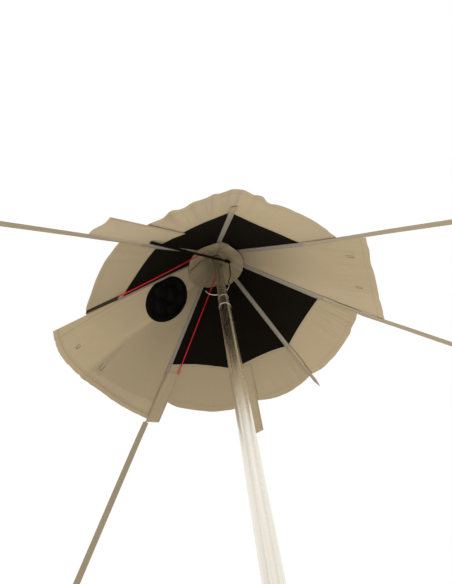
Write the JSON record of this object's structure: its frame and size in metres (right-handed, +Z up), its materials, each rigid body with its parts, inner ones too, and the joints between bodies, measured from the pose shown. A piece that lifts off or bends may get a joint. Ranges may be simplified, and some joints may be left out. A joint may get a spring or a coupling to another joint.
{
  "type": "pole tent canopy",
  "caption": "Crown of a pole tent: beige canvas with black mesh vents, seam tapes, a stove port, red vent cords, guy straps with peg rings and a bright steel centre pole.",
  "frame": {"origin": "on the ground under the centre of the pole's foot", "axes": "+Z up along the pole, +X towards the plain panel, -X towards the panel with the stove port"},
  "size_m": [4.2069, 4.3112, 2.5033],
  "materials": {
    "canvas": "matt beige tent canvas",
    "webbing": "matt grey seam tape",
    "mesh": "fine black netting",
    "black_cloth": "soft black cloth and cord",
    "red_cord": "round red cord",
    "bright_steel": "bright plated steel",
    "black_plastic": "matt black plastic"
  },
  "bodies": {
    "canopy": {"brim_ab": "canvas", "brim_cd": "canvas", "brim_de": "canvas", "brim_ef": "canvas", "brim_gh": "canvas", "brim_ha": "canvas", "collar": "canvas", "collar_eyelet": "bright_steel", "crown_cap": "canvas", "guy_strap_b": "canvas", "guy_strap_c": "canvas", "guy_strap_e": "canvas", "guy_strap_f": "canvas", "guy_strap_h": "canvas", "hanging_cord": "black_cloth", "hanging_knot_lower": "black_cloth", "hanging_knot_upper": "black_cloth", "hanging_strap": "black_cloth", "lantern_clip": "bright_steel", "panel_plain": "canvas", "panel_stove": "canvas", "pole_tip": "black_plastic", "pole_upper": "bright_steel", "seam_tape_a": "webbing", "seam_tape_b": "webbing", "seam_tape_c": "webbing", "seam_tape_d": "webbing", "seam_tape_e": "webbing", "seam_tape_f": "webbing", "seam_tape_g": "webbing", "seam_tape_h": "webbing", "side_tab_e": "canvas", "side_tab_f": "canvas", "side_tab_g": "canvas", "side_tab_h": "canvas", "stove_port_rim": "black_cloth", "strap_tail_d": "canvas", "vent_cord_f": "red_cord", "vent_cord_g": "red_cord", "vent_mesh_ab": "mesh", "vent_mesh_cd": "mesh", "vent_mesh_de": "mesh", "vent_mesh_ef": "mesh", "vent_mesh_gh": "mesh", "vent_mesh_ha": "mesh"},
    "pole": {"pole_bush": "bright_steel", "pole_middle": "bright_steel", "pole_sleeve": "bright_steel", "pole_lower": "bright_steel", "pole_foot": "black_plastic"},
    "port_cover": {"stove_port_cover": "black_cloth"},
    "peg_ring_b": {"peg_ring_b": "bright_steel"},
    "peg_ring_c": {"peg_ring_c": "bright_steel"},
    "peg_ring_e": {"peg_ring_e": "bright_steel"},
    "peg_ring_f": {"peg_ring_f": "bright_steel"},
    "peg_ring_h": {"peg_ring_h": "bright_steel"}
  },
  "joints": [
    {"name": "pole_height", "type": "slide", "parent": "canopy", "child": "pole", "axis": [0, 0, 1], "range_m": [-0.1, 0.2]},
    {"name": "port_cover_hinge", "type": "hinge", "parent": "canopy", "child": "port_cover", "pos_m": [-0.13058, -0.03846, 2.31739], "axis": [-0.0567, 0.9984, 0], "range_deg": [0, 100]},
    {"name": "peg_ring_b_hinge", "type": "hinge", "parent": "canopy", "child": "peg_ring_b", "pos_m": [2.11786, -0.75048, 0.0052], "axis": [-0.3322, -0.9432, 0], "range_deg": [0, 110]},
    {"name": "peg_ring_c_hinge", "type": "hinge", "parent": "canopy", "child": "peg_ring_c", "pos_m": [2.15417, 0.63594, 0.0052], "axis": [0.2706, -0.9627, 0], "range_deg": [0, 110]},
    {"name": "peg_ring_e_hinge", "type": "hinge", "parent": "canopy", "child": "peg_ring_e", "pos_m": [-0.63063, 2.1566, 0.0052], "axis": [0.9598, 0.2807, 0], "range_deg": [0, 110]},
    {"name": "peg_ring_f_hinge", "type": "hinge", "parent": "canopy", "child": "peg_ring_f", "pos_m": [-1.98391, 1.05486, 0.0052], "axis": [0.4695, 0.8829, 0], "range_deg": [0, 110]},
    {"name": "peg_ring_h_hinge", "type": "hinge", "parent": "canopy", "child": "peg_ring_h", "pos_m": [-0.8355, -2.08545, 0.0052], "axis": [-0.9252, 0.3795, 0], "range_deg": [0, 110]}
  ]
}
